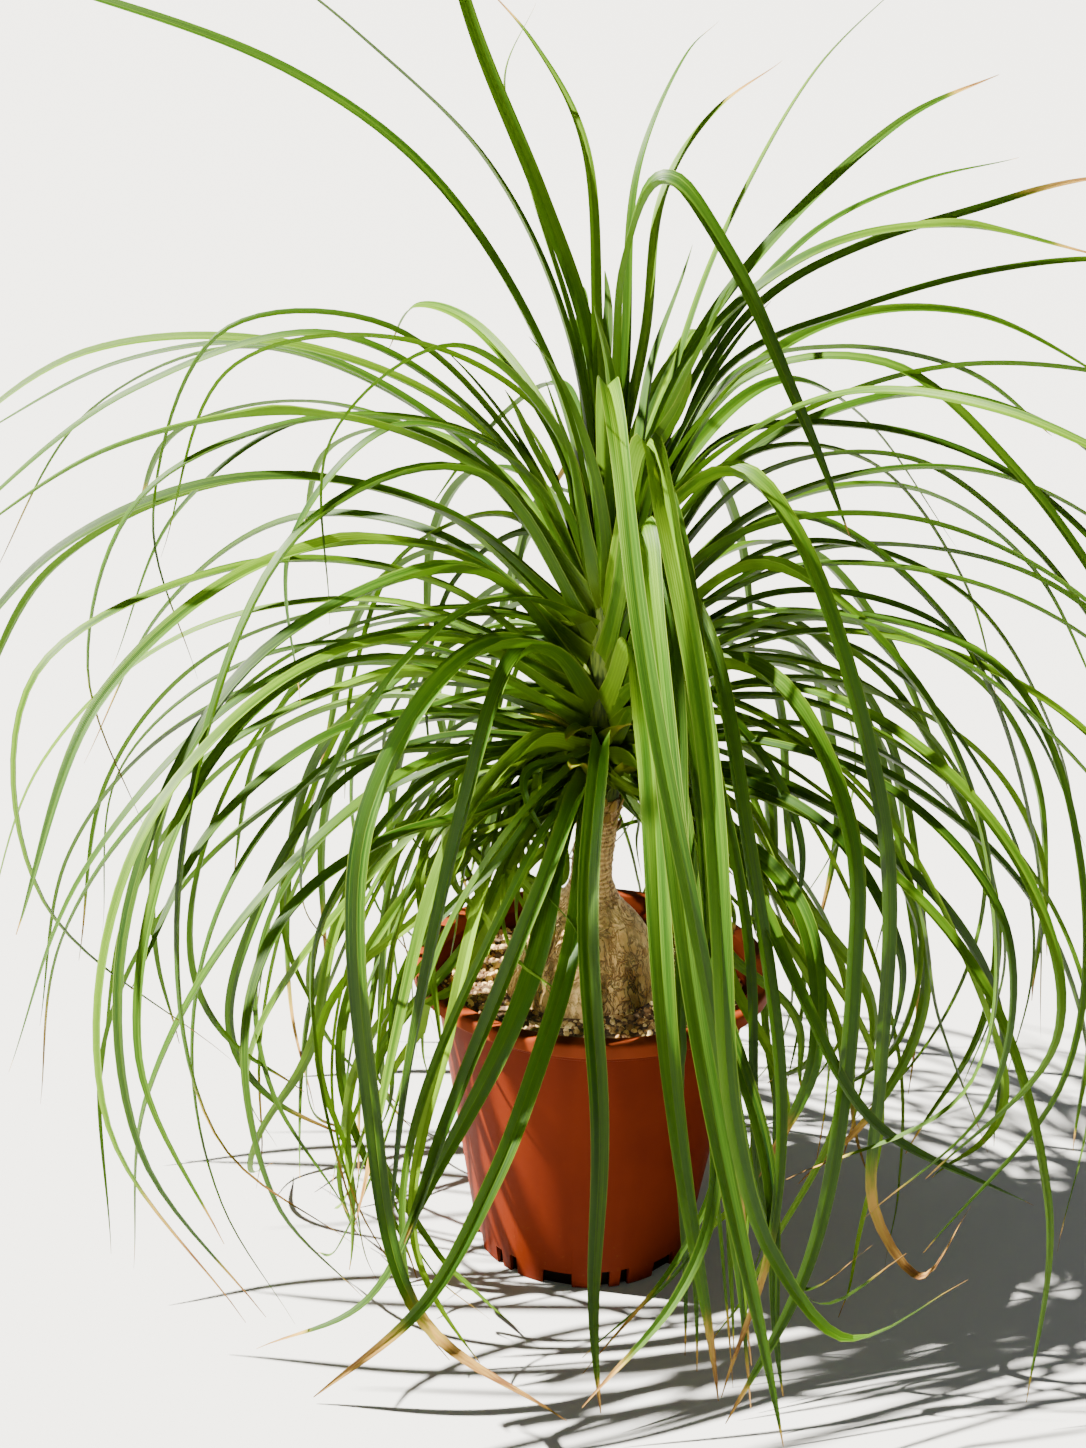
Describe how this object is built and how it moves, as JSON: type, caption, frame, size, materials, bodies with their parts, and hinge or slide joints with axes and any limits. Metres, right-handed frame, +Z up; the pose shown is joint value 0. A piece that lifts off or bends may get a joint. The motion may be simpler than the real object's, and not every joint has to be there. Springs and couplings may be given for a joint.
{
  "type": "potted ponytail palm",
  "caption": "Potted ponytail palm: a swollen cracked stem base in gritty soil in a tapered plastic pot, with a fountain of long arching strap leaves.",
  "frame": {"origin": "on the floor under the middle of the pot", "axes": "+Z up along the stem; -Y towards the side seen first, +X to its right"},
  "size_m": [0.8681, 0.6739, 0.915],
  "materials": {
    "pot_plastic": "satin terracotta-coloured moulded plastic",
    "potting_mix": "dark crumbly bark and loam with pale grit",
    "caudex_bark": "dry tan bark, finely cracked, ringed on the neck",
    "leaf": "smooth satin green leaf with fine lengthwise veins"
  },
  "bodies": {
    "root": {"pot": "pot_plastic", "soil": "potting_mix", "caudex": "caudex_bark", "leaf_crown": "leaf"}
  },
  "joints": []
}
